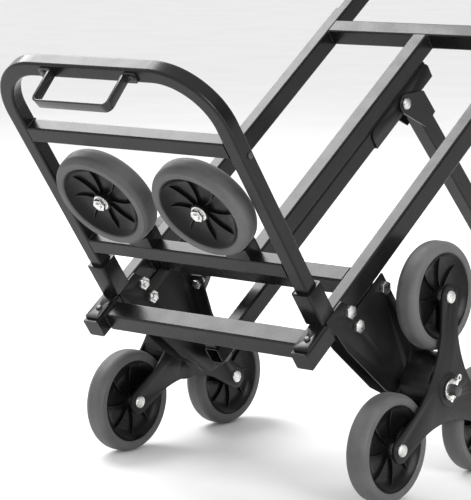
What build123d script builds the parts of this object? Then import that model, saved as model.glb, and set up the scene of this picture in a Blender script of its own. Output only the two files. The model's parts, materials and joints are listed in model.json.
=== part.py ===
from build123d import *
import os
from math import cos, radians, sin

# Stair climbing trolley, standing in its platform position. Millimetres, +Z up,
# -Y is the toe side, +X is the right-hand side seen from the toe.
# Origin: on the floor, midway between the sides and midway along the whole length.

os.makedirs("parts", exist_ok=True)

# ---------------------------------------------------------------- driving sizes
lean = 55.0                 # rails from vertical, degrees
wheel_r = 75.0              # every wheel
tyre_width = 32.0
hub_half = 12.0             # half length of the wheel boss
rim_r = 60.0
wheel_bore_r = 5.05
star_arm = 128.5            # star centre to wheel axle
axle_z = star_arm / 2 + wheel_r
axle_y = -153.8             # star axle ahead of the middle of the whole length
star_mid_x = 235.5          # middle of the star and of its wheels
star_gap = 21.0             # star middle to the inside of a star plate
plate = 3.0                 # sheet steel
star_plate = 4.0

rail_x = 184.5              # rail centre line
rail_wide = 22.0
rail_deep = 32.0
wall = 1.5
front = 207.5               # load face above the star axle
rail_low = -95.0
rail_high = 565.0
bar = 28.0                  # square crossbars
top_bar = 521.0             # centre of the top crossbar along the rails
low_bar = -3.0
spine_wide = 26.0
spine_deep = 28.5
foot_end = -152.0
foot_top = 202.5
foot_bar = -119.5           # centre of the front crossbar
foot_bar_n = 185.5

toe_face = -97.5            # underside of the toe frame
toe_tube = 22.0
toe_x = 182.5               # centre line of the toe side tubes
toe_top = 626.5
toe_bend = 81.0             # bend radius on the centre line
toe_bars = (297.0, 500.0)   # centres of the toe crossbars
spare_x = 86.0
spare_n = 400.0

leg_angle = 47.3            # leg below horizontal
leg_pivot_a = 400.0
leg_pivot_n = 161.0
leg_offset = 29.0           # pivot to leg centre line
leg_wide = 26.0
leg_deep = 30.0
leg_outer_end = 330.0
leg_axle_offset = leg_offset + 27.0
rear_x = 62.0

handle_wide = 18.0
handle_deep = 28.0
handle_low = 480.0
handle_top = 965.0          # centre line of the hand bar
handle_bend = 40.0
handle_n = front - rail_deep / 2


# ---------------------------------------------------------------- planes
# The main frame is a flat ladder that leans back. Its directions:
# X across, `up` along the rails, `out` square to the load face.
up = Vector(0, sin(radians(lean)), cos(radians(lean)))
out = Vector(0, -cos(radians(lean)), sin(radians(lean)))
axle = Vector(0, axle_y, axle_z)


def spot(x, a, n):
    """Point at x across, a along the rails and n out from the star axle."""
    return axle + Vector(x, 0, 0) + up * a + out * n


def across(a):
    """Section plane of the rails at a; sketch axes are (out, X)."""
    return Plane(origin=spot(0, a, 0), x_dir=out, z_dir=up)


def facing(n):
    """Plane parallel to the load face; sketch axes are (X, up)."""
    return Plane(origin=spot(0, 0, n), x_dir=(1, 0, 0), z_dir=out)


def beside(x):
    """Plane square to the axle at x; sketch axes are (up, out)."""
    return Plane(origin=spot(x, 0, 0), x_dir=up, z_dir=(1, 0, 0))


def upright(x):
    """Plane square to the axle at x; sketch axes are (Y, Z) from the star axle."""
    return Plane(origin=axle + Vector(x, 0, 0), x_dir=(0, 1, 0), z_dir=(1, 0, 0))


def save(builder, name):
    builder.part.label = name
    export_step(builder.part, "parts/" + name + ".step")


def hollow(long, short, corner=3.0, thick=wall):
    """Rounded hollow section, drawn in the sketch that is open."""
    RectangleRounded(long, short, corner)
    RectangleRounded(long - 2 * thick, short - 2 * thick, corner - thick + 0.2, mode=Mode.SUBTRACT)


def tube(plane, centre, size, length, corner=3.0):
    """Straight square tube."""
    with BuildPart() as piece:
        with BuildSketch(plane):
            with Locations(centre):
                hollow(size[0], size[1], corner)
        extrude(amount=length)
    return piece


# ---------------------------------------------------------------- ladder frame
def main_rail(side):
    """Side rail with the two holes of the bracket bolts and a plugged foot end."""
    with BuildPart() as rail:
        with BuildSketch(across(rail_low)):
            with Locations((front - rail_deep / 2, side * rail_x)):
                hollow(rail_deep, rail_wide)
        extrude(amount=rail_high - rail_low)
        with BuildSketch(across(rail_low)):
            with Locations((front - rail_deep / 2, side * rail_x)):
                RectangleRounded(rail_deep - 2, rail_wide - 2, 2)
        extrude(amount=3)
        with BuildSketch(beside(side * rail_x)):
            with Locations(bracket_bolts[0]):
                Circle(bolt_r)
        extrude(amount=rail_wide, both=True, mode=Mode.SUBTRACT)
    return rail


bracket_bolts = ((-50.0, 184.5), (-47.0, 155.5), (27.0, 157.5))
bolt_r = 5.0

save(main_rail(-1), "rail_left")
save(main_rail(1), "rail_right")

inner_span = 2 * (rail_x - rail_wide / 2)
span_start = -inner_span / 2
crossbar_n = front - bar / 2
save(tube(beside(span_start), (top_bar, crossbar_n), (bar, bar), inner_span), "top_crossbar")
save(tube(beside(span_start), (low_bar, crossbar_n), (bar, bar), inner_span), "lower_crossbar")

spine_low = low_bar + bar / 2
spine_high = top_bar - bar / 2
save(
    tube(
        across(spine_low),
        (front - spine_deep / 2, 0),
        (spine_deep, spine_wide),
        spine_high - spine_low,
    ),
    "centre_rail_upper",
)

lower_spine_low = 35.0
lower_spine_high = 478.0
lower_spine_n = front - spine_deep * 1.5
with BuildPart() as lower_spine:
    with BuildSketch(across(lower_spine_low)):
        with Locations((lower_spine_n, 0)):
            hollow(spine_deep, spine_wide)
    extrude(amount=lower_spine_high - lower_spine_low)
    with BuildSketch(beside(0)):
        with Locations((leg_pivot_a, leg_pivot_n)):
            Circle(5.0)
    extrude(amount=spine_wide, both=True, mode=Mode.SUBTRACT)
save(lower_spine, "centre_rail_lower")

# Short strut from the foot of the lower centre rail to the front crossbar.
strut_n = 145.2
strut_wide = 22.0
strut_deep = 27.0
strut_low = -130.0
foot_bar_wide = 30.0
foot_bar_deep = 29.0
with BuildPart() as strut:
    with BuildSketch(across(strut_low)):
        with Locations((strut_n, 0)):
            hollow(strut_deep, strut_wide)
    extrude(amount=lower_spine_low - strut_low)
    with BuildSketch(facing(strut_n + strut_deep / 2 - 0.5)):
        with Locations((0, strut_low + 12)):
            Rectangle(strut_wide - 4, 20)
    extrude(until=None, amount=foot_bar_n - foot_bar_deep / 2 - strut_n - strut_deep / 2 + 0.5)
save(strut, "centre_strut")

# ---------------------------------------------------------------- front feet
foot_x = 186.0
foot_size = 28.0
tongue_screw = -127.0       # along the rails, on the foot centre line
screw_hole_r = 2.5
foot_inner = foot_x - foot_size / 2
save(
    tube(
        beside(-foot_inner),
        (foot_bar, foot_bar_n),
        (foot_bar_wide, foot_bar_deep),
        2 * foot_inner,
    ),
    "front_crossbar",
)

foot_head = rail_low - 0.2
with BuildPart() as feet:
    with BuildSketch(across(foot_end)):
        with Locations((foot_top - foot_size / 2, -foot_x), (foot_top - foot_size / 2, foot_x)):
            hollow(foot_size, foot_size)
    extrude(amount=foot_head - foot_end)
    with BuildSketch(across(foot_end)):
        with Locations((foot_top - foot_size / 2, -foot_x), (foot_top - foot_size / 2, foot_x)):
            RectangleRounded(foot_size - 0.8, foot_size - 0.8, 2.6)
    extrude(amount=3)
    with BuildSketch(facing(foot_top)):
        with Locations((-foot_x, tongue_screw), (foot_x, tongue_screw)):
            Circle(screw_hole_r)
    extrude(amount=-4, mode=Mode.SUBTRACT)
save(feet, "front_feet")

# ---------------------------------------------------------------- axle brackets
axle_r = 8.0
boss_r = 34.0
outline = (
    (rail_low, front),
    (-54, front),
    (-36, 176),
    (36, 176),
    (38, 128),
    (33, 10),
)
front_edge = ((-50, 36), (-81, 140), (-86, 176), (rail_low, 182))


def bracket_face():
    """Side plate: a broad ear on the rail that narrows to the axle boss."""
    with BuildSketch() as face:
        with BuildLine():
            Polyline(*outline)
            ThreePointArc(outline[-1], (0, -boss_r), (-31, 2))
            Polyline((-31, 2), *front_edge, outline[0])
        make_face()
        with Locations(*bracket_bolts):
            Circle(bolt_r, mode=Mode.SUBTRACT)
        Circle(axle_r, mode=Mode.SUBTRACT)
    return face.sketch


outer_face = rail_x + rail_wide / 2
inner_face = rail_x - rail_wide / 2
with BuildPart() as outer_plates:
    for side in (-1, 1):
        with BuildSketch(beside(side * outer_face)):
            add(bracket_face())
        extrude(amount=side * plate)
save(outer_plates, "bracket_plates_outer")

# The inner plates carry a flange along the back edge and a cheek round the axle.
flange_wide = 24.0
cheek_x = inner_face - flange_wide
back_edge = ((37, 122), (22, 60), (19, 18))
flange_bolt_r = 4.0


def flange_plane(side):
    """Front face of the flange at its bolt, looking forward."""
    slope = Vector(0, 0, 0) - up * 0.972 + out * 0.235
    return Plane(origin=spot(side * (inner_face - 14), 30.9, 110), x_dir=(1, 0, 0), z_dir=slope)


with BuildPart() as inner_plates:
    for side in (-1, 1):
        with BuildSketch(beside(side * inner_face)):
            add(bracket_face())
        extrude(amount=-side * plate)
        with BuildSketch(beside(side * inner_face)):
            with BuildLine():
                Polyline(*back_edge)
                Line(back_edge[-1], (back_edge[-1][0] - plate, back_edge[-1][1]))
                Polyline(
                    (back_edge[-1][0] - plate, back_edge[-1][1]),
                    (back_edge[1][0] - plate, back_edge[1][1]),
                    (back_edge[0][0] - plate, back_edge[0][1]),
                    back_edge[0],
                )
            make_face()
        extrude(amount=-side * flange_wide)
        with BuildSketch(beside(side * cheek_x)):
            with BuildLine():
                Polyline((19, 60), (22, 60), (19, 18), (16, -12))
                ThreePointArc((16, -12), (0, -20), (-16, -12))
                Polyline((-16, -12), (-14, 14), (19, 60))
            make_face()
            Circle(axle_r, mode=Mode.SUBTRACT)
        extrude(amount=side * plate)
        with BuildSketch(flange_plane(side)):
            Circle(flange_bolt_r)
        extrude(amount=6, both=True, mode=Mode.SUBTRACT)
save(inner_plates, "bracket_plates_inner")

# Fixed stub axle with a collar between the bracket plates, a nut on its inner end
# and a cross hole for the split pin.
star_face_x = star_mid_x + star_gap + star_plate
washer_x = star_face_x + 1.8
washer_thick = 3.0
axle_tip = star_face_x + 15.0
axle_root = cheek_x - 14.0
pin_x = axle_tip - 6.0
pin_r = 2.0
pin_lean = radians(28)      # split pins lean back from vertical
pin_way = Vector(0, sin(pin_lean), cos(pin_lean))
with BuildPart() as stub_axles:
    for side in (-1, 1):
        with BuildSketch(beside(side * axle_root)):
            Circle(axle_r)
        extrude(amount=side * (axle_tip - axle_root))
        with BuildSketch(beside(side * (inner_face + 0.1))):
            Circle(13)
        extrude(amount=side * (rail_wide - 0.2))
        with BuildSketch(beside(side * (axle_root + 1))):
            RegularPolygon(13, 6)
        extrude(amount=side * 10)
        pin_mid = axle + Vector(side * pin_x, 0, 0)
        with BuildSketch(Plane(origin=pin_mid, x_dir=(1, 0, 0), z_dir=pin_way)):
            Circle(pin_r + 0.1)
        extrude(amount=axle_r + 2, both=True, mode=Mode.SUBTRACT)
save(stub_axles, "stub_axles")

washer_r = 15.0
with BuildPart() as axle_washers:
    for side in (-1, 1):
        with BuildSketch(beside(side * washer_x)):
            Circle(washer_r)
            Circle(axle_r + 0.05, mode=Mode.SUBTRACT)
        extrude(amount=side * washer_thick)
save(axle_washers, "axle_washers")

with BuildPart() as split_pins:
    for side in (-1, 1):
        pin_mid = axle + Vector(side * pin_x, 0, 0)
        with BuildSketch(Plane(origin=pin_mid - pin_way * 17, x_dir=(1, 0, 0), z_dir=pin_way)):
            Circle(pin_r)
        extrude(amount=32)
        with BuildSketch(Plane(origin=pin_mid + pin_way * 18.5, x_dir=(0, 1, 0), z_dir=(1, 0, 0))):
            Circle(5.0)
            Circle(2.4, mode=Mode.SUBTRACT)
        extrude(amount=1.6, both=True)
save(split_pins, "split_pins")


# ---------------------------------------------------------------- star wheels
boss_small = 18.0
arm_half = 19.5
arm_join = 80.0
valley = 45.0
star_plate_gap = 2 * star_gap
wheel_bolt_r = 5.0


def star_face():
    """Three-armed plate with round ends and deep curved flanks."""
    with BuildSketch() as face:
        with BuildLine():
            for turn in (0, 120, 240):
                here = Rot(0, 0, turn)
                next_turn = Rot(0, 0, turn + 120)
                left_end = (here * Pos(-boss_small, star_arm)).position
                right_end = (here * Pos(boss_small, star_arm)).position
                tip = (here * Pos(0, star_arm + boss_small)).position
                left_join = (here * Pos(-arm_half, arm_join)).position
                right_join = (here * Pos(arm_half, arm_join)).position
                dip = (Rot(0, 0, turn + 60) * Pos(0, valley)).position
                next_join = (next_turn * Pos(arm_half, arm_join)).position
                ThreePointArc(left_end, tip, right_end)
                Line(right_end, right_join)
                Line(left_join, left_end)
                ThreePointArc(left_join, dip, next_join)
        make_face()
    return face.sketch


sleeve_r = 11.0
sleeve_in = star_gap + star_plate + 11.5
button_r = 9.5


drum_r = 49.0
drum_wall = 3.0


def star_plates(side):
    """Outer and inner pressed plate, welded to the drum that stands between them."""
    middle = side * star_mid_x
    with BuildPart() as plates:
        for face_dir in (1, -1):
            with BuildSketch(upright(middle + face_dir * star_gap)):
                add(star_face())
                with PolarLocations(star_arm, 3, start_angle=90):
                    Circle(wheel_bolt_r, mode=Mode.SUBTRACT)
                Circle(sleeve_r, mode=Mode.SUBTRACT)
            extrude(amount=face_dir * star_plate)
        with BuildSketch(upright(middle - star_gap)):
            Circle(drum_r)
            Circle(drum_r - drum_wall, mode=Mode.SUBTRACT)
        extrude(amount=2 * star_gap)
        with BuildSketch(upright(middle + side * (star_gap + star_plate))):
            Circle(24.0)
            Circle(sleeve_r, mode=Mode.SUBTRACT)
        extrude(amount=side * 1.2, taper=30)
    return plates


def star_sleeve(side):
    """Plain bearing tube that joins the two plates and turns on the stub axle."""
    middle = side * star_mid_x
    with BuildPart() as sleeve:
        with BuildSketch(upright(middle - side * sleeve_in)):
            Circle(sleeve_r)
            Circle(axle_r + 0.05, mode=Mode.SUBTRACT)
        extrude(amount=side * (sleeve_in + star_gap + star_plate + 1))
    return sleeve


def star_pins(side):
    """Three wheel pins with a low round head at each end."""
    middle = side * star_mid_x
    with BuildPart() as pins:
        with BuildSketch(upright(middle - star_gap - star_plate)):
            with PolarLocations(star_arm, 3, start_angle=90):
                Circle(wheel_bolt_r)
        extrude(amount=2 * (star_gap + star_plate))
        for end in (1, -1):
            tall = 3.4 if end == side else 2.4
            with BuildSketch(upright(middle + end * (star_gap + star_plate))):
                with PolarLocations(star_arm, 3, start_angle=90):
                    Circle(button_r)
            extrude(amount=end * tall, taper=22)
    return pins


def star_spacers(side):
    """Distance rings between the wheel bosses and the plates."""
    middle = side * star_mid_x
    with BuildPart() as spacers:
        for end in (1, -1):
            with BuildSketch(upright(middle + end * (hub_half + 0.3))):
                with PolarLocations(star_arm, 3, start_angle=90):
                    Circle(9.5)
                    Circle(wheel_bolt_r, mode=Mode.SUBTRACT)
            extrude(amount=end * (star_gap - hub_half - 0.3))
    return spacers


for side, hand in ((-1, "left"), (1, "right")):
    save(star_plates(side), "star_plates_" + hand)
    save(star_sleeve(side), "star_sleeve_" + hand)
    save(star_pins(side), "star_pins_" + hand)
    save(star_spacers(side), "star_spacers_" + hand)


# ---------------------------------------------------------------- wheels
# A solid rubber tyre on a dished hub with curved ribs. Both are drawn at the
# origin with the wheel axis along Z, then placed at each of the ten hubs.
half_tyre = tyre_width / 2
with BuildPart() as tyre:
    with BuildSketch(Plane.XZ):
        with BuildLine():
            Polyline((rim_r + 1.5, -half_tyre), (rim_r, -half_tyre + 1.5), (rim_r, half_tyre - 1.5))
            Polyline((rim_r, half_tyre - 1.5), (rim_r + 1.5, half_tyre), (69.5, half_tyre))
            ThreePointArc((69.5, half_tyre), (73.4, half_tyre - 4.5), (wheel_r, 5.5))
            Line((wheel_r, 5.5), (wheel_r, -5.5))
            ThreePointArc((wheel_r, -5.5), (73.4, -half_tyre + 4.5), (69.5, -half_tyre))
            Line((69.5, -half_tyre), (rim_r + 1.5, -half_tyre))
        make_face()
    revolve(axis=Axis.Z)

rib_count = 8
boss_wheel_r = 13.0
web_half = 4.0
dish_flat = 40.0            # the web curves out from here to the lip
dish_lip = 58.5
lip_half = tyre_width / 2 - 2
rib_half = 8.0
with BuildPart() as hub:
    with BuildSketch(Plane.XZ):
        with BuildLine():
            Polyline(
                (wheel_bore_r, -hub_half),
                (wheel_bore_r, hub_half),
                (boss_wheel_r, hub_half),
                (boss_wheel_r + 1, web_half),
                (dish_flat, web_half),
            )
            ThreePointArc((dish_flat, web_half), (52.5, 8.0), (dish_lip, lip_half - 0.5))
            Polyline((dish_lip, lip_half - 0.5), (rim_r, lip_half), (rim_r, -lip_half), (dish_lip, 0.5 - lip_half))
            ThreePointArc((dish_lip, 0.5 - lip_half), (52.5, -8.0), (dish_flat, -web_half))
            Polyline(
                (dish_flat, -web_half),
                (boss_wheel_r + 1, -web_half),
                (boss_wheel_r, -hub_half),
                (wheel_bore_r, -hub_half),
            )
        make_face()
    revolve(axis=Axis.Z)
    with BuildSketch(Plane.XY):
        for turn in range(rib_count):
            spin = Rot(0, 0, turn * 360 / rib_count)
            root = (spin * Pos(boss_wheel_r - 1, 0)).position
            bend = (spin * Pos(32, 3.5)).position
            tip = (spin * Pos(53, 0)).position
            with BuildLine():
                ThreePointArc(root, bend, tip)
            trace(line_width=1.6)
    extrude(amount=rib_half, both=True)


def place_wheel(plane, name):
    """Write the tyre and the hub of one wheel."""
    for builder, piece in ((tyre, "tyre_" + name), (hub, "hub_" + name)):
        copy = builder.part.moved(plane.location)
        copy.label = piece
        export_step(copy, "parts/" + piece + ".step")


for side, hand in ((-1, "left"), (1, "right")):
    for spoke, angle in (("top", 90), ("front", 210), ("back", 330)):
        reach = Vector(0, star_arm * cos(radians(angle)), star_arm * sin(radians(angle)))
        hub_centre = axle + Vector(side * star_mid_x, 0, 0) + reach
        place_wheel(Plane(origin=hub_centre, x_dir=(0, 1, 0), z_dir=(1, 0, 0)), hand + "_" + spoke)
    spare_centre = spot(side * spare_x, toe_face, spare_n)
    place_wheel(Plane(origin=spare_centre, x_dir=(1, 0, 0), z_dir=up), "spare_" + hand)


# ---------------------------------------------------------------- toe frame
def toe_plane(a):
    """Plane parallel to the toe frame at a; sketch axes are (X, out)."""
    return Plane(origin=spot(0, a, 0), x_dir=(1, 0, 0), z_dir=up * -1)


strap_thick = 3.0
strap_x = 64.0
strap_n = 614.0
strap_screw = strap_x + 12
tongue_thick = 3.0
side_screw = (-84.0, 485.0)
screw_planes = []
for side in (-1, 1):
    strap_head = spot(side * strap_screw, toe_face - strap_thick, strap_n)
    tongue_head = spot(side * foot_x, tongue_screw, foot_top + tongue_thick)
    side_head = spot(side * (toe_x + toe_tube / 2), side_screw[0], side_screw[1])
    screw_planes.append(Plane(origin=strap_head, x_dir=(1, 0, 0), z_dir=up * -1))
    screw_planes.append(Plane(origin=tongue_head, x_dir=(1, 0, 0), z_dir=out))
    screw_planes.append(Plane(origin=side_head, x_dir=up, z_dir=(side, 0, 0)))

toe_mid = toe_face + toe_tube / 2
toe_low = front + 0.7
toe_high = toe_top - toe_tube / 2
with BuildPart() as toe_hoop:
    with BuildLine(toe_plane(toe_mid)) as hoop_line:
        FilletPolyline(
            (-toe_x, toe_low),
            (-toe_x, toe_high),
            (toe_x, toe_high),
            (toe_x, toe_low),
            radius=toe_bend,
        )
    with BuildSketch(Plane(origin=hoop_line.line @ 0, x_dir=(1, 0, 0), z_dir=hoop_line.line % 0)):
        hollow(toe_tube, toe_tube, 3.5)
    sweep()
    for plane in screw_planes:
        with BuildSketch(plane):
            Circle(screw_hole_r)
        extrude(amount=-5, mode=Mode.SUBTRACT)
save(toe_hoop, "toe_hoop")

with BuildPart() as toe_screws:
    for plane in screw_planes:
        with BuildSketch(plane):
            Circle(screw_hole_r - 0.1)
        extrude(amount=-4.5)
        with BuildSketch(plane):
            Circle(4.6)
        extrude(amount=2.4, taper=18)
save(toe_screws, "toe_screws")

toe_bar_deep = 20.8
toe_bar_tall = 24.0
toe_span = toe_x - toe_tube / 2
with BuildPart() as toe_crossbars:
    with BuildSketch(beside(-toe_span)):
        with Locations(*[(toe_face + toe_bar_deep / 2, n) for n in toe_bars]):
            hollow(toe_bar_deep, toe_bar_tall, 2.5)
    extrude(amount=2 * toe_span)
save(toe_crossbars, "toe_crossbars")

# Socket on the front of each rail, with a tongue that is screwed to the foot.
socket_wide = 30.0
socket_deep = 32.0
socket_low = front + 0.2
socket_high = 260.0
tongue_end = -147.5
with BuildPart() as toe_sockets:
    for side in (-1, 1):
        with BuildSketch(facing(socket_low)):
            with Locations((side * toe_x, toe_mid)):
                RectangleRounded(socket_wide, socket_deep, 4)
                RectangleRounded(toe_tube, toe_tube, 3.5, mode=Mode.SUBTRACT)
        extrude(amount=socket_high - socket_low)
        with BuildSketch(facing(foot_top)):
            with Locations((side * foot_x, (tongue_end + foot_head) / 2)):
                RectangleRounded(25, foot_head - tongue_end, 4)
            with Locations((side * foot_x, tongue_screw)):
                Circle(screw_hole_r, mode=Mode.SUBTRACT)
        extrude(amount=tongue_thick)
        with BuildSketch(facing(foot_top)):
            with Locations((side * (foot_x - 1), toe_face - 2.2)):
                Rectangle(22, 4)
        extrude(amount=socket_low - foot_top + 4)
save(toe_sockets, "toe_sockets")

# Posts of the spare wheels, welded to the lower toe crossbar.
post_back = toe_face + toe_bar_deep + 0.2
post_plate = 4.0
toe_bar_top = toe_bars[0] + toe_bar_tall / 2
with BuildPart() as posts:
    for side in (-1, 1):
        middle = side * spare_x
        with BuildSketch(toe_plane(post_back)):
            with BuildLine():
                Polyline(
                    (middle - 6, toe_bar_top),
                    (middle + 34, toe_bar_top),
                    (middle + 34, toe_bar_top + 19),
                    (middle + 22, toe_bar_top + 15),
                    (middle + 8, toe_bar_top + 11),
                    (middle - 6, toe_bar_top + 11),
                    (middle - 6, toe_bar_top),
                )
            make_face()
        extrude(amount=toe_bar_deep)
        with BuildSketch(toe_plane(post_back)):
            with BuildLine():
                ThreePointArc((middle + 16, spare_n), (middle, spare_n + 16), (middle - 16, spare_n))
                Polyline(
                    (middle - 16, spare_n),
                    (middle - 6, toe_bars[0] - 8),
                    (middle + 34, toe_bars[0] - 8),
                    (middle + 34, toe_bar_top + 19),
                    (middle + 16, spare_n),
                )
            make_face()
            with Locations((middle, spare_n)):
                Circle(wheel_bolt_r, mode=Mode.SUBTRACT)
        extrude(amount=-post_plate)
        with BuildSketch(toe_plane(post_back)):
            with Locations((middle, spare_n)):
                Circle(9)
                Circle(wheel_bolt_r, mode=Mode.SUBTRACT)
        extrude(amount=post_back - toe_face - hub_half - 0.3)
save(posts, "spare_wheel_posts")

spare_bolt_r = 4.97
spare_washer = toe_face - hub_half - 0.3
with BuildPart() as spare_bolts:
    with BuildSketch(toe_plane(post_back + post_plate)):
        with Locations((-spare_x, spare_n), (spare_x, spare_n)):
            RegularPolygon(8.5, 6, major_radius=False)
    extrude(amount=-6)
    with BuildSketch(toe_plane(post_back + post_plate)):
        with Locations((-spare_x, spare_n), (spare_x, spare_n)):
            Circle(spare_bolt_r)
    extrude(amount=post_back + post_plate - spare_washer + 10)
    with BuildSketch(toe_plane(spare_washer)):
        with Locations((-spare_x, spare_n), (spare_x, spare_n)):
            Circle(11.5)
            Circle(spare_bolt_r - 0.5, mode=Mode.SUBTRACT)
    extrude(amount=1.6)
save(spare_bolts, "spare_wheel_bolts")

# Flat strap on the underside of the toe, bent to a shallow U.
strap_wide = 14.0
strap_deep = 50.0
tilt = radians(13)
strap_way = up * -cos(tilt) - out * sin(tilt)
strap_plane = Plane(
    origin=spot(0, toe_face, strap_n),
    x_dir=(1, 0, 0),
    z_dir=Vector(1, 0, 0).cross(strap_way),
)
with BuildPart() as strap:
    with BuildSketch(strap_plane):
        with BuildLine():
            FilletPolyline(
                (-strap_x, 1.8),
                (-strap_x, strap_deep),
                (strap_x, strap_deep),
                (strap_x, 1.8),
                radius=8,
            )
        trace(line_width=strap_thick)
    extrude(amount=strap_wide / 2, both=True)
    with BuildSketch(toe_plane(toe_face)):
        for side in (-1, 1):
            with Locations((side * (strap_x + 9), strap_n)):
                RectangleRounded(21, strap_wide + 1, 3)
            with Locations((side * strap_screw, strap_n)):
                Circle(screw_hole_r, mode=Mode.SUBTRACT)
    extrude(amount=strap_thick)
save(strap, "toe_strap")

# ---------------------------------------------------------------- fasteners
bolt_root = outer_face + plate
bolt_long = rail_wide + 2 * plate + 9
with BuildPart() as frame_bolts:
    for side in (-1, 1):
        with BuildSketch(beside(side * bolt_root)):
            with Locations(*bracket_bolts):
                RegularPolygon(8.5, 6, major_radius=False)
        extrude(amount=side * 5.5)
        with BuildSketch(beside(side * bolt_root)):
            with Locations(*bracket_bolts):
                Circle(bolt_r)
        extrude(amount=-side * bolt_long)
        with BuildSketch(flange_plane(side)):
            RegularPolygon(6.5, 6, major_radius=False)
        extrude(amount=5)
        with BuildSketch(flange_plane(side)):
            Circle(flange_bolt_r)
        extrude(amount=-12)
save(frame_bolts, "frame_bolts")

nut_thick = 6.0
with BuildPart() as frame_nuts:
    for side in (-1, 1):
        with BuildSketch(beside(side * (inner_face - plate))):
            with Locations(*bracket_bolts):
                RegularPolygon(8.5, 6, major_radius=False)
                Circle(bolt_r + 0.02, mode=Mode.SUBTRACT)
        extrude(amount=-side * nut_thick)
        with BuildSketch(toe_plane(spare_washer - 1.6)):
            with Locations((side * spare_x, spare_n)):
                RegularPolygon(8.5, 6, major_radius=False)
                Circle(spare_bolt_r + 0.02, mode=Mode.SUBTRACT)
        extrude(amount=nut_thick)
save(frame_nuts, "frame_nuts")

# ---------------------------------------------------------------- rear leg
# The leg hangs from a channel under the centre rail and folds forward under it.
pivot = spot(0, leg_pivot_a, leg_pivot_n)
down = Vector(0, cos(radians(leg_angle)), -sin(radians(leg_angle)))
rise = Vector(0, sin(radians(leg_angle)), cos(radians(leg_angle)))
rear_s = (pivot.Z + leg_axle_offset * cos(radians(leg_angle)) - wheel_r) / sin(radians(leg_angle))
rear_centre = pivot + down * rear_s + rise * leg_axle_offset


def leg_section(s):
    """Section plane of the leg; sketch axes are (rise, X)."""
    return Plane(origin=pivot + down * s, x_dir=rise, z_dir=down)


def leg_side(x):
    """Plane square to the leg pivot at x; sketch axes are (down, rise)."""
    return Plane(origin=pivot + Vector(x, 0, 0), x_dir=down, z_dir=(1, 0, 0))


channel = 2.0
channel_x = spine_wide / 2 + 0.2
spine_bottom = lower_spine_n - spine_deep / 2
with BuildPart() as leg_bracket:
    with BuildSketch(facing(spine_bottom)):
        with Locations((0, 395.5)):
            RectangleRounded(2 * (channel_x + channel), 171, 6)
    extrude(amount=-channel)
    for side in (-1, 1):
        with BuildSketch(beside(side * channel_x)):
            with BuildLine():
                Polyline((310, spine_bottom - channel), (481, spine_bottom - channel), (481, 166))
                ThreePointArc((481, 166), (477.5, 174.5), (469, 178))
                Line((469, 178), (322, 178))
                ThreePointArc((322, 178), (313.5, 174.5), (310, 166))
                Line((310, 166), (310, spine_bottom - channel))
            make_face()
            with Locations((leg_pivot_a, leg_pivot_n)):
                Circle(wheel_bolt_r, mode=Mode.SUBTRACT)
        extrude(amount=side * channel)
save(leg_bracket, "leg_bracket")

cheek_in = channel_x + channel + 0.4
cheek_out = cheek_in + plate
with BuildPart() as pivot_bolt:
    with BuildSketch(leg_side(-cheek_out - 0.4)):
        Circle(wheel_bolt_r)
    extrude(amount=2 * (cheek_out + 0.4))
    for side in (-1, 1):
        with BuildSketch(leg_side(side * (cheek_out + 0.35))):
            Circle(9)
        extrude(amount=side * 3.6, taper=18)
save(pivot_bolt, "leg_pivot_bolt")

leg_head = 20.0
knob_s = 312.0
leg_top = leg_offset + leg_deep / 2
knob_hole_r = 4.05
knob_boss = 8.0
with BuildPart() as leg_outer:
    with BuildSketch(leg_section(leg_head)):
        with Locations((leg_offset, 0)):
            hollow(leg_deep, leg_wide)
    extrude(amount=leg_outer_end - leg_head)
    for side in (-1, 1):
        with BuildSketch(leg_side(side * leg_wide / 2)):
            with Locations((44, leg_offset)):
                Rectangle(40, leg_deep - 4)
        extrude(amount=side * (cheek_in - leg_wide / 2))
        with BuildSketch(leg_side(side * cheek_in)):
            Circle(14.5)
            with Locations((42, leg_offset)):
                Rectangle(46, leg_deep + 2)
            make_hull()
            Circle(wheel_bore_r, mode=Mode.SUBTRACT)
        extrude(amount=side * plate)
    knob_plane = Plane(origin=pivot + down * knob_s + rise * (leg_top - 0.5), x_dir=down, z_dir=rise)
    with BuildSketch(knob_plane):
        Circle(10)
    extrude(amount=knob_boss + 0.5)
    with BuildSketch(knob_plane):
        Circle(knob_hole_r)
    extrude(amount=12, both=True, mode=Mode.SUBTRACT)
save(leg_outer, "leg_outer_tube")

inner_wide = 22.0
inner_deep = 26.0
inner_head = 285.0
inner_end = 641.0
with BuildPart() as leg_inner:
    with BuildSketch(leg_section(inner_head)):
        with Locations((leg_offset, 0)):
            hollow(inner_deep, inner_wide, 2.5)
    extrude(amount=inner_end - inner_head)
    with BuildSketch(leg_section(inner_end)):
        with Locations((leg_offset, 0)):
            RectangleRounded(inner_deep, inner_wide, 2.5)
    extrude(amount=2.5)
save(leg_inner, "leg_inner_tube")

knob_tip = leg_offset + inner_deep / 2 + 0.2
knob_base = leg_top + knob_boss + 0.4
with BuildPart() as leg_knob:
    with BuildSketch(Plane(origin=pivot + down * knob_s + rise * knob_tip, x_dir=down, z_dir=rise)):
        Circle(knob_hole_r - 0.05)
    extrude(amount=knob_base - knob_tip + 2)
    with BuildSketch(Plane(origin=pivot + down * knob_s + rise * knob_base, x_dir=down, z_dir=rise)):
        Circle(9)
    extrude(amount=5)
    with BuildSketch(Plane(origin=pivot + down * knob_s + rise * (knob_base + 4), x_dir=down, z_dir=rise)):
        Circle(15)
        with PolarLocations(14, 6):
            Circle(5)
    extrude(amount=13)
    chamfer(leg_knob.faces().sort_by(Axis(origin=(0, 0, 0), direction=rise))[-1].edges(), length=1.5)
save(leg_knob, "leg_knob")

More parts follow.
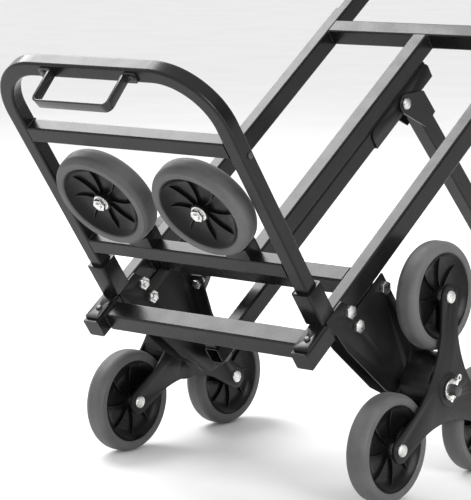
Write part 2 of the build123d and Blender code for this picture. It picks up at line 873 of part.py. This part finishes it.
rear_gap = rear_x - hub_half - 0.3
with BuildPart() as rear_axle:
    with BuildSketch(Plane(origin=rear_centre - Vector(rear_gap, 0, 0), x_dir=(0, 1, 0), z_dir=(1, 0, 0))):
        Circle(11)
    extrude(amount=2 * rear_gap)
    for side in (-1, 1):
        with BuildSketch(leg_side(side * inner_wide / 2)):
            with Locations((rear_s, leg_axle_offset)):
                Circle(14)
            with Locations((inner_end - 22, leg_offset)):
                Rectangle(42, inner_deep - 4)
            make_hull()
        extrude(amount=side * plate)
        with BuildSketch(Plane(origin=rear_centre, x_dir=(0, 1, 0), z_dir=(side, 0, 0))):
            Circle(wheel_bolt_r)
        extrude(amount=rear_x + hub_half + 9)
        nut_plane = Plane(
            origin=rear_centre + Vector(side * (rear_x + hub_half + 0.3), 0, 0),
            x_dir=(0, 1, 0),
            z_dir=(side, 0, 0),
        )
        with BuildSketch(nut_plane):
            Circle(11)
        extrude(amount=1.6)
        with BuildSketch(nut_plane):
            RegularPolygon(8.5, 6, major_radius=False)
        extrude(amount=7.2)
save(rear_axle, "rear_axle")

for side, hand in ((-1, "left"), (1, "right")):
    rear_hub = rear_centre + Vector(side * rear_x, 0, 0)
    place_wheel(Plane(origin=rear_hub, x_dir=(0, 1, 0), z_dir=(1, 0, 0)), "rear_" + hand)

# ---------------------------------------------------------------- handle
stem_r = 3.0
with BuildPart() as handle:
    with BuildLine(facing(handle_n)) as handle_line:
        FilletPolyline(
            (-rail_x, handle_low),
            (-rail_x, handle_top),
            (rail_x, handle_top),
            (rail_x, handle_low),
            radius=handle_bend,
        )
    with BuildSketch(Plane(origin=handle_line.line @ 0, x_dir=out, z_dir=handle_line.line % 0)):
        hollow(handle_deep, handle_wide)
    sweep()
    with BuildSketch(across(handle_top)):
        with Locations((handle_n, 0)):
            Circle(stem_r + 0.05)
    extrude(amount=20, mode=Mode.SUBTRACT)
save(handle, "handle_tube")

grip_half = 110.0
grip_thick = 5.0
grip_base = handle_top + handle_wide / 2
with BuildPart() as grip:
    with BuildSketch(beside(-grip_half)):
        with Locations((handle_top, handle_n)):
            RectangleRounded(handle_wide + 2 * grip_thick, handle_deep + 2 * grip_thick, 8)
            RectangleRounded(handle_wide, handle_deep, 3, mode=Mode.SUBTRACT)
    extrude(amount=2 * grip_half)
    with BuildSketch(across(grip_base)):
        with Locations((handle_n, 0)):
            SlotOverall(34.8, 12.8, rotation=90)
    extrude(amount=10, mode=Mode.SUBTRACT)
save(grip, "handle_grip")

button_lift = 3.4
with BuildPart() as release:
    with BuildSketch(across(grip_base + button_lift)):
        with Locations((handle_n, 0)):
            SlotOverall(34, 12, rotation=90)
    extrude(amount=4.2)
    with BuildSketch(across(handle_top + 2)):
        with Locations((handle_n, 0)):
            Circle(stem_r)
    extrude(amount=handle_wide / 2 + button_lift)
save(release, "handle_button")
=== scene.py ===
import json
import math

import bmesh
import bpy
from mathutils import Matrix, Vector


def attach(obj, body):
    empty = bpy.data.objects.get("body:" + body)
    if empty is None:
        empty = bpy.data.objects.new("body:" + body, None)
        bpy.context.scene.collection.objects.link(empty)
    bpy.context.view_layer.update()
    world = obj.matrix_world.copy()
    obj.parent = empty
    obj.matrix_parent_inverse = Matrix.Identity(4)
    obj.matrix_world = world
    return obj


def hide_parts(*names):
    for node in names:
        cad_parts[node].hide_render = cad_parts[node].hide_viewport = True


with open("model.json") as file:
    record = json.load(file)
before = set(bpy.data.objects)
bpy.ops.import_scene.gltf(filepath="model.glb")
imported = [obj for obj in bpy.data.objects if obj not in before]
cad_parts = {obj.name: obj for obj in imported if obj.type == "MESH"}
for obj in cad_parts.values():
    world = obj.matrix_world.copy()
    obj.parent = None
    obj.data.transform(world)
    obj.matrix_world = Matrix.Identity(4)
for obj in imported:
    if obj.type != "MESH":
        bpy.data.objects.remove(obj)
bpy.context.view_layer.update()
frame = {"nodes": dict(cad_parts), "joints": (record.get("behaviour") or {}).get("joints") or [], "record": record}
nodes = frame["nodes"]
scene = bpy.context.scene
MM = 0.001

# The main frame leans back; these are its own directions, as in the CAD.
LEAN = math.radians(55)
UP = Vector((0, math.sin(LEAN), math.cos(LEAN)))
OUT = Vector((0, -math.cos(LEAN), math.sin(LEAN)))
ACROSS = Vector((1, 0, 0))
STAR = Vector(next(j["pos_m"] for j in frame["joints"] if j["name"] == "star_turn_right"))
AXLE = Vector((0, STAR.y, STAR.z))
BODY_OF = {n: b for b, ns in frame["record"]["behaviour"]["bodies"].items() for n in ns}


def spot(x, a, n):
    """Point in metres from millimetres across, along the rails and out from the star axle."""
    return AXLE + (ACROSS * x + UP * a + OUT * n) * MM


# ---------------------------------------------------------------- materials
def new_material(name):
    mat = bpy.data.materials.new(name)
    mat.use_nodes = True
    return mat, mat.node_tree.nodes, mat.node_tree.links, mat.node_tree.nodes["Principled BSDF"]


def noise(tree_nodes, links, scale, detail, rough=0.55):
    """Noise on the object's own coordinates, scale in features per metre."""
    place = tree_nodes.new("ShaderNodeTexCoord")
    tex = tree_nodes.new("ShaderNodeTexNoise")
    tex.inputs["Scale"].default_value = scale
    tex.inputs["Detail"].default_value = detail
    tex.inputs["Roughness"].default_value = rough
    links.new(place.outputs["Object"], tex.inputs["Vector"])
    return tex.outputs["Fac"]


RAMP_START = 0.35
RAMP_END = 0.65


def ramp(tree_nodes, links, source, low, high):
    """Map a noise value to a colour or a grey between low and high."""
    node = tree_nodes.new("ShaderNodeValToRGB")
    node.color_ramp.elements[0].position = RAMP_START
    node.color_ramp.elements[1].position = RAMP_END
    for element, value in zip(node.color_ramp.elements, (low, high)):
        element.color = (*value, 1) if isinstance(value, tuple) else (value, value, value, 1)
    links.new(source, node.inputs["Fac"])
    return node.outputs["Color"]


def bump(tree_nodes, links, bsdf, source, height, strength, under=None):
    """Bump of a height in metres, on top of the bump in under if there is one."""
    node = tree_nodes.new("ShaderNodeBump")
    node.inputs["Distance"].default_value = height
    node.inputs["Strength"].default_value = strength
    links.new(source, node.inputs["Height"])
    if under:
        links.new(under, node.inputs["Normal"])
    links.new(node.outputs["Normal"], bsdf.inputs["Normal"])
    return node.outputs["Normal"]


def painted_steel(name, dark, light, rough, peel=0.00006, shine=0.5):
    """Powder coat: faint orange peel over slow waves, and a slightly uneven gloss."""
    mat, tn, links, bsdf = new_material(name)
    tint = ramp(tn, links, noise(tn, links, 14, 5), dark, light)
    links.new(tint, bsdf.inputs["Base Color"])
    gloss = ramp(tn, links, noise(tn, links, 30, 4), rough - 0.03, rough + 0.05)
    links.new(gloss, bsdf.inputs["Roughness"])
    bsdf.inputs["IOR"].default_value = 1.46
    bsdf.inputs["Specular IOR Level"].default_value = shine
    wave = bump(tn, links, bsdf, noise(tn, links, 60, 1), 0.00012, 0.12)
    bump(tn, links, bsdf, noise(tn, links, 700, 2), peel, 0.12, wave)
    return mat


def zinc_plate():
    """Bright zinc: cloudy colour and gloss, and a very fine grain."""
    mat, tn, links, bsdf = new_material("zinc")
    bsdf.inputs["Metallic"].default_value = 1.0
    tint = ramp(tn, links, noise(tn, links, 160, 5), (0.55, 0.55, 0.53), (0.80, 0.80, 0.79))
    links.new(tint, bsdf.inputs["Base Color"])
    gloss = ramp(tn, links, noise(tn, links, 420, 4), 0.20, 0.42)
    links.new(gloss, bsdf.inputs["Roughness"])
    bump(tn, links, bsdf, noise(tn, links, 1500, 3), 0.00005, 0.6)
    return mat


def tyre_rubber():
    """Solid grey rubber: cloudy colour, small scuffs and a fine grain."""
    mat, tn, links, bsdf = new_material("tyre_rubber")
    cloud = noise(tn, links, 30, 6, 0.65)
    tint = ramp(tn, links, cloud, (0.062, 0.062, 0.063), (0.090, 0.090, 0.092))
    links.new(tint, bsdf.inputs["Base Color"])
    gloss = ramp(tn, links, noise(tn, links, 60, 5), 0.48, 0.66)
    links.new(gloss, bsdf.inputs["Roughness"])
    bsdf.inputs["Specular IOR Level"].default_value = 0.42
    bsdf.inputs["Sheen Weight"].default_value = 0.06
    bsdf.inputs["Sheen Roughness"].default_value = 0.5
    scuff = bump(tn, links, bsdf, noise(tn, links, 200, 3), 0.00012, 0.3)
    bump(tn, links, bsdf, noise(tn, links, 1600, 2), 0.00005, 0.3, scuff)
    return mat


def moulded_plastic(name, dark, light, rough, grain=700.0, depth=0.00006, shine=0.4):
    """Moulded plastic with a fine grain, shallow sink marks and a slow gloss change."""
    mat, tn, links, bsdf = new_material(name)
    tint = ramp(tn, links, noise(tn, links, 22, 4), dark, light)
    links.new(tint, bsdf.inputs["Base Color"])
    gloss = ramp(tn, links, noise(tn, links, 50, 5), rough - 0.06, rough + 0.08)
    links.new(gloss, bsdf.inputs["Roughness"])
    bsdf.inputs["IOR"].default_value = 1.5
    bsdf.inputs["Specular IOR Level"].default_value = shine
    sink = bump(tn, links, bsdf, noise(tn, links, 60, 2), 0.0003, 0.25)
    bump(tn, links, bsdf, noise(tn, links, grain, 2), depth, 0.5, sink)
    return mat


looks = {
    "frame_paint": painted_steel(
        "frame_paint", (0.005, 0.005, 0.005), (0.008, 0.008, 0.008), 0.26, 0.00006, 0.30
    ),
    "pressed_paint": painted_steel(
        "pressed_paint", (0.005, 0.005, 0.005), (0.009, 0.009, 0.009), 0.36, 0.00006, 0.22
    ),
    "black_steel": painted_steel("black_steel", (0.020, 0.020, 0.020), (0.040, 0.040, 0.040), 0.30),
    "zinc": zinc_plate(),
    "tyre_rubber": tyre_rubber(),
    "hub_plastic": moulded_plastic(
        "hub_plastic", (0.003, 0.003, 0.003), (0.006, 0.006, 0.006), 0.30, 700.0, 0.00004, 0.18
    ),
    "strap_paint": painted_steel("strap_paint", (0.008, 0.008, 0.009), (0.016, 0.016, 0.017), 0.24),
    "grip_rubber": moulded_plastic(
        "grip_rubber", (0.012, 0.012, 0.013), (0.022, 0.022, 0.023), 0.62, 1100, 0.00012
    ),
    "knob_plastic": moulded_plastic(
        "knob_plastic", (0.008, 0.008, 0.009), (0.015, 0.015, 0.016), 0.45
    ),
    "button_plastic": moulded_plastic(
        "button_plastic", (0.045, 0.045, 0.048), (0.070, 0.070, 0.074), 0.40
    ),
}
slot_of = {s["node"]: s["material_slot"] for s in frame["record"]["subparts"]}


def dress(piece, slot):
    """Give a new piece the material of its slot, and nothing else."""
    piece.data.materials.clear()
    piece.data.materials.append(looks[slot])


for name, node in nodes.items():
    for place in node.material_slots:
        place.material = looks[slot_of[name]]


# ---------------------------------------------------------------- softened CAD
SHARP = math.radians(28.0)      # edges sharper than this are broken
FLAT = math.radians(0.6)        # faces flatter than this are joined
BEVEL_STEPS = 2


def softened(name, width):
    """Stand a copy of a CAD node in its place, with every sharp edge broken."""
    piece = bpy.data.objects.new("soft_" + name, nodes[name].data.copy())
    scene.collection.objects.link(piece)
    mesh = bmesh.new()
    mesh.from_mesh(piece.data)
    bmesh.ops.remove_doubles(mesh, verts=mesh.verts, dist=1e-6)
    bmesh.ops.dissolve_limit(mesh, angle_limit=FLAT, verts=mesh.verts, edges=mesh.edges)
    mesh.to_mesh(piece.data)
    mesh.free()
    piece.data.shade_smooth()
    edge = piece.modifiers.new("edge", "BEVEL")
    edge.width = width * MM
    edge.segments = BEVEL_STEPS
    edge.limit_method = "ANGLE"
    edge.angle_limit = SHARP
    edge.harden_normals = True
    edge.use_clamp_overlap = True
    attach(piece, BODY_OF[name])
    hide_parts(name)
    dress(piece, slot_of[name])
    return piece


EDGES = {                       # width of the broken edges in millimetres
    "bracket_plates_outer": 0.5,
    "bracket_plates_inner": 0.5,
    "leg_bracket": 0.4,
    "star_plates_left": 1.5,
    "star_plates_right": 1.5,
    "toe_sockets": 0.6,
    "spare_wheel_posts": 0.6,
    "toe_strap": 0.5,
    "frame_bolts": 0.5,
    "frame_nuts": 0.5,
    "spare_wheel_bolts": 0.4,
    "leg_pivot_bolt": 0.6,
    "rear_axle": 0.5,
    "stub_axles": 0.6,
    "axle_washers": 0.4,
    "toe_screws": 0.4,
    "star_pins_left": 0.5,
    "star_pins_right": 0.5,
}
for name, width in EDGES.items():
    softened(name, width)


# ---------------------------------------------------------------- weld beads
BEAD_RADIUS = 1.5
BEAD_STEP = 0.5                 # distance between two rings of a bead
BEAD_RIPPLE = 2.4               # length of one ripple
BEAD_SIDES = 8


def add_bead(mesh, corners):
    """Rippled weld bead along the straight runs between some points."""
    points = []
    for start, end in zip(corners, corners[1:]):
        steps = max(2, int((end - start).length / (BEAD_STEP * MM)))
        points += [start.lerp(end, i / steps) for i in range(steps)]
    points.append(corners[-1])
    rings = []
    for i, here in enumerate(points):
        ahead = points[min(i + 1, len(points) - 1)]
        behind = points[max(i - 1, 0)]
        way = (ahead - behind).normalized()
        first = way.orthogonal().normalized()
        second = way.cross(first)
        wave = abs(math.sin(math.pi * i * BEAD_STEP / BEAD_RIPPLE))
        size = BEAD_RADIUS * MM * (0.86 + 0.22 * wave)
        if i in (0, len(points) - 1):
            size *= 0.5
        ring = []
        for k in range(BEAD_SIDES):
            turn = math.tau * k / BEAD_SIDES
            ring.append(mesh.verts.new(here + (first * math.cos(turn) + second * math.sin(turn)) * size))
        rings.append(ring)
    for one, two in zip(rings, rings[1:]):
        shift = min(range(BEAD_SIDES), key=lambda k: (two[k].co - one[0].co).length)
        two[:] = two[shift:] + two[:shift]
        for k in range(BEAD_SIDES):
            after = (k + 1) % BEAD_SIDES
            mesh.faces.new((one[k], one[after], two[after], two[k]))
    mesh.faces.new(rings[0][::-1])
    mesh.faces.new(rings[-1])


# Where the beads run, in millimetres: X, then along the rails and out from the axle.
RAIL_INNER = 173.5
LADDER_BARS = (521.0, -3.0)
LADDER_HALF = 14.0
LADDER_BACK = 179.5
FOOT_INNER = 172.0
FOOT_BAR = (-134.5, -104.5)
FOOT_BAR_FRONT = 200.0
TOE_INNER = 171.5
TOE_BARS = (297.0, 500.0)
TOE_HALF = 12.0
TOE_BAR_TOP = -76.7
SPINE_ENDS = (11.0, 507.0)
SPINE_HALF = 13.0


def weld_beads():
    """Beads round the ends of every crossbar and of the upper centre rail."""
    mesh = bmesh.new()
    for side in (-1, 1):
        for a in LADDER_BARS:
            low, high = a - LADDER_HALF, a + LADDER_HALF
            ring = [(low, 206.0), (low, LADDER_BACK), (high, LADDER_BACK), (high, 206.0)]
            add_bead(mesh, [spot(side * RAIL_INNER, *p) for p in ring])
        low, high = FOOT_BAR
        ring = [(low, 176.0), (low, FOOT_BAR_FRONT), (high, FOOT_BAR_FRONT), (high, 176.0)]
        add_bead(mesh, [spot(side * FOOT_INNER, *p) for p in ring])
        for n in TOE_BARS:
            low, high = n - TOE_HALF, n + TOE_HALF
            ring = [(-96.0, low), (TOE_BAR_TOP, low), (TOE_BAR_TOP, high), (-96.0, high)]
            add_bead(mesh, [spot(side * TOE_INNER, *p) for p in ring])
        for a in SPINE_ENDS:
            add_bead(mesh, [spot(side * SPINE_HALF, a, 206.0), spot(side * SPINE_HALF, a, 181.0)])
    bmesh.ops.recalc_face_normals(mesh, faces=mesh.faces)
    data = bpy.data.meshes.new("weld_beads")
    mesh.to_mesh(data)
    mesh.free()
    data.shade_smooth()
    piece = bpy.data.objects.new("weld_beads", data)
    scene.collection.objects.link(piece)
    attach(piece, "frame")
    dress(piece, "frame_paint")


weld_beads()


# ---------------------------------------------------------------- floor, light, camera
FLOOR_HALF = 30.0
FLOOR_DROP = 0.0005             # keeps the floor clear of the tyres


def floor():
    """Plain pale floor."""
    mesh = bmesh.new()
    bmesh.ops.create_grid(mesh, x_segments=1, y_segments=1, size=FLOOR_HALF)
    data = bpy.data.meshes.new("floor")
    mesh.to_mesh(data)
    mesh.free()
    piece = bpy.data.objects.new("floor", data)
    scene.collection.objects.link(piece)
    piece.location.z = -FLOOR_DROP
    mat, tn, links, bsdf = new_material("floor")
    tint = ramp(tn, links, noise(tn, links, 3, 3), (0.80, 0.80, 0.80), (0.83, 0.83, 0.83))
    links.new(tint, bsdf.inputs["Base Color"])
    bsdf.inputs["Roughness"].default_value = 0.85
    data.materials.append(mat)


def softbox(name, target, direction, distance, width, height, power):
    """Soft rectangular light that stands in a direction from its target and faces it."""
    data = bpy.data.lights.new(name, "AREA")
    data.shape = "RECTANGLE"
    data.size = width
    data.size_y = height
    data.energy = power
    lamp = bpy.data.objects.new(name, data)
    scene.collection.objects.link(lamp)
    way = Vector(direction).normalized()
    lamp.location = target + way * distance
    lamp.rotation_mode = "QUATERNION"
    lamp.rotation_quaternion = way.to_track_quat("Z", "Y")


def studio():
    """White surround that is dimmer behind the right-hand side."""
    world = bpy.data.worlds.new("studio")
    scene.world = world
    world.use_nodes = True
    tn, links = world.node_tree.nodes, world.node_tree.links
    where = tn.new("ShaderNodeTexCoord")
    facing = tn.new("ShaderNodeVectorMath")
    facing.operation = "DOT_PRODUCT"
    facing.inputs[1].default_value = Vector((0.80, 0.55, -0.25)).normalized()
    links.new(where.outputs["Generated"], facing.inputs[0])
    fade = tn.new("ShaderNodeMapRange")
    fade.interpolation_type = "SMOOTHSTEP"
    fade.inputs["From Min"].default_value = 0.2
    fade.inputs["From Max"].default_value = 0.9
    fade.inputs["To Min"].default_value = 1.12
    fade.inputs["To Max"].default_value = 0.15
    links.new(facing.outputs["Value"], fade.inputs["Value"])
    sky = tn["Background"]
    sky.inputs["Color"].default_value = (0.98, 0.98, 0.98, 1)
    links.new(fade.outputs["Result"], sky.inputs["Strength"])


floor()
studio()
scene.view_settings.view_transform = "Standard"
middle = Vector((0, 0.02, 0.35))
softbox("key", middle - ACROSS * 0.35, (-0.63, 0.11, 0.77), 3.2, 1.7, 2.2, 105)
softbox("side", middle, (0.95, -0.30, 0.35), 3.4, 1.6, 1.6, 70)

# The camera stands in front of the toe, to the right of it and a little above.
AZIMUTH = math.radians(39.69)
ELEVATION = math.radians(9.01)
ROLL = math.radians(-0.35)
DISTANCE = 3.19899
SIDEWAYS = 0.09225
UPWARDS = -0.16597
back = Vector((
    math.sin(AZIMUTH) * math.cos(ELEVATION),
    -math.cos(AZIMUTH) * math.cos(ELEVATION),
    math.sin(ELEVATION),
))
right = Vector((math.cos(AZIMUTH), math.sin(AZIMUTH), 0))
over = right.cross(-back)
right_rolled = right * math.cos(ROLL) + over * math.sin(ROLL)
over_rolled = over * math.cos(ROLL) - right * math.sin(ROLL)
lens = bpy.data.cameras.new("camera")
lens.sensor_width = 36.0
lens.lens = 159.6
camera = bpy.data.objects.new("camera", lens)
scene.collection.objects.link(camera)
turned = Matrix((right_rolled, over_rolled, back)).transposed().to_4x4()
turned.translation = AXLE + back * DISTANCE - right_rolled * SIDEWAYS - over_rolled * UPWARDS
camera.matrix_world = turned
lens.clip_start = 0.05
lens.clip_end = 100.0
scene.camera = camera
